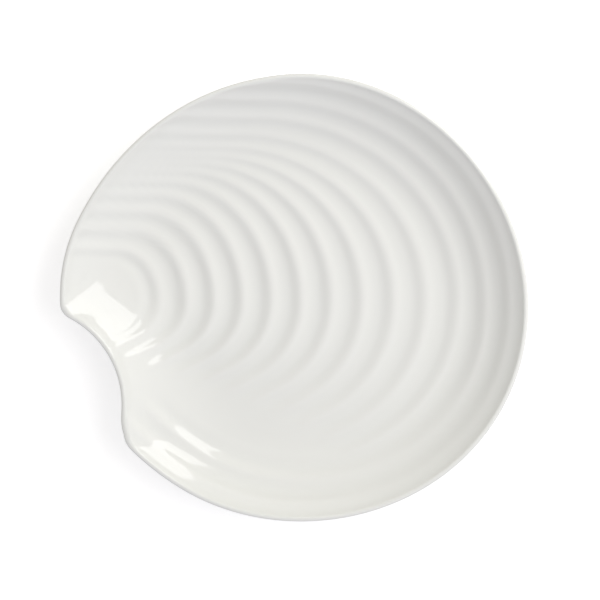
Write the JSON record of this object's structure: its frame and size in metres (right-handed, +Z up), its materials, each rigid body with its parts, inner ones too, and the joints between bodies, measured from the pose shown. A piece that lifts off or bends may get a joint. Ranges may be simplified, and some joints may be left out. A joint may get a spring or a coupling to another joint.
{
  "type": "plate",
  "caption": "Shallow shell-shaped plate with a blunt tip beside a round bite in its rim, a coved wall, and growth ribs spreading from the tip over its white glazed face.",
  "frame": {"origin": "middle of the outline, on the plane that the foot ring stands on", "axes": "+X from the tip to the far rim, +Y across the plate on the side away from the bite, +Z up out of the face"},
  "size_m": [0.2292, 0.2192, 0.0263],
  "materials": {
    "clay": "matte",
    "glaze": "gloss"
  },
  "bodies": {
    "root": {"clay_body": "clay", "foot_ring": "clay", "glaze_coat": "glaze", "foot_glaze": "glaze"}
  },
  "joints": []
}
